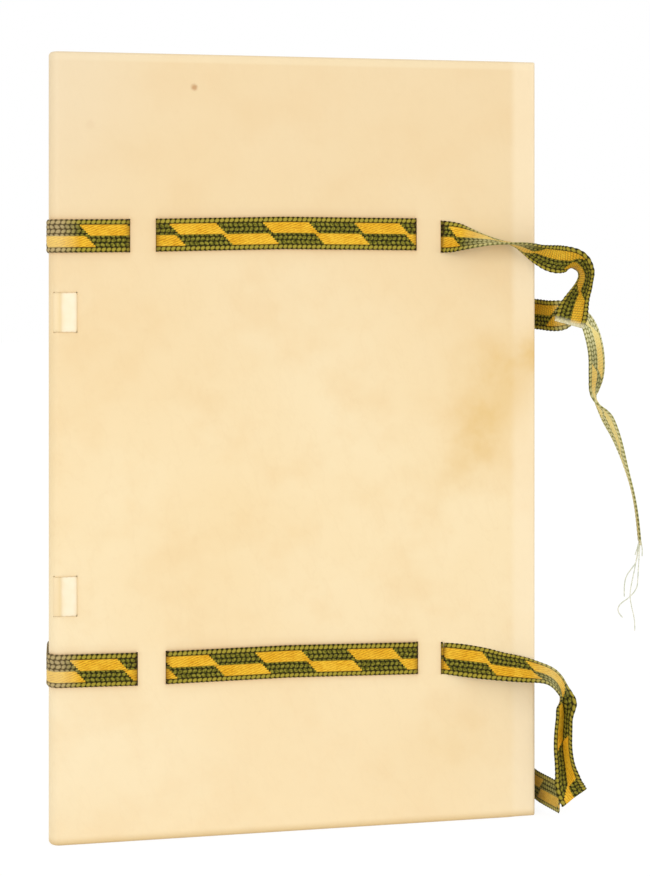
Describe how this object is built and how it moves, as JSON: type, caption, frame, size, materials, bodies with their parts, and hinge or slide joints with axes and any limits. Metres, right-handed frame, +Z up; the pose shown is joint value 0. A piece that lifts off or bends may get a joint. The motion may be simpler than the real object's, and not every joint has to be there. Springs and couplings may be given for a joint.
{
  "type": "limp vellum book",
  "caption": "Upright limp vellum book with rolled edges, sewing slips laced at the joints and woven ribbons laced through both covers that end in free ties.",
  "frame": {"origin": "middle of the footprint that the book stands on, at the tail edges of its cover", "axes": "+X from the spine to the fore edge, +Y from the front cover to the back cover, +Z up along the spine"},
  "size_m": [0.1902, 0.0339, 0.24],
  "materials": {
    "vellum": "limp calf vellum, satin",
    "slip": "vellum strip, satin",
    "ribbon": "woven green and yellow ribbon",
    "paper": "matte rag paper",
    "thread": "linen thread"
  },
  "bodies": {
    "block": {"text_block": "paper", "sewing_thread": "thread", "spine_cover": "vellum", "upper_slip_spine": "slip", "lower_slip_spine": "slip", "upper_ribbon_spine": "ribbon", "lower_ribbon_spine": "ribbon"},
    "front": {"front_cover": "vellum", "upper_slip_front": "slip", "lower_slip_front": "slip", "upper_ribbon_front": "ribbon", "lower_ribbon_front": "ribbon", "upper_front_tie": "ribbon", "lower_front_tie": "ribbon"},
    "back": {"back_cover": "vellum", "upper_slip_back": "slip", "lower_slip_back": "slip", "upper_ribbon_back": "ribbon", "lower_ribbon_back": "ribbon", "upper_back_tie": "ribbon", "lower_back_tie": "ribbon"}
  },
  "joints": [
    {"name": "front_cover_hinge", "type": "hinge", "parent": "block", "child": "front", "pos_m": [-0.0725, -0.0109, 0.12], "axis": [0, 0, -1], "range_deg": [0, 170]},
    {"name": "back_cover_hinge", "type": "hinge", "parent": "block", "child": "back", "pos_m": [-0.0725, 0.0109, 0.12], "axis": [0, 0, 1], "range_deg": [0, 170]}
  ]
}
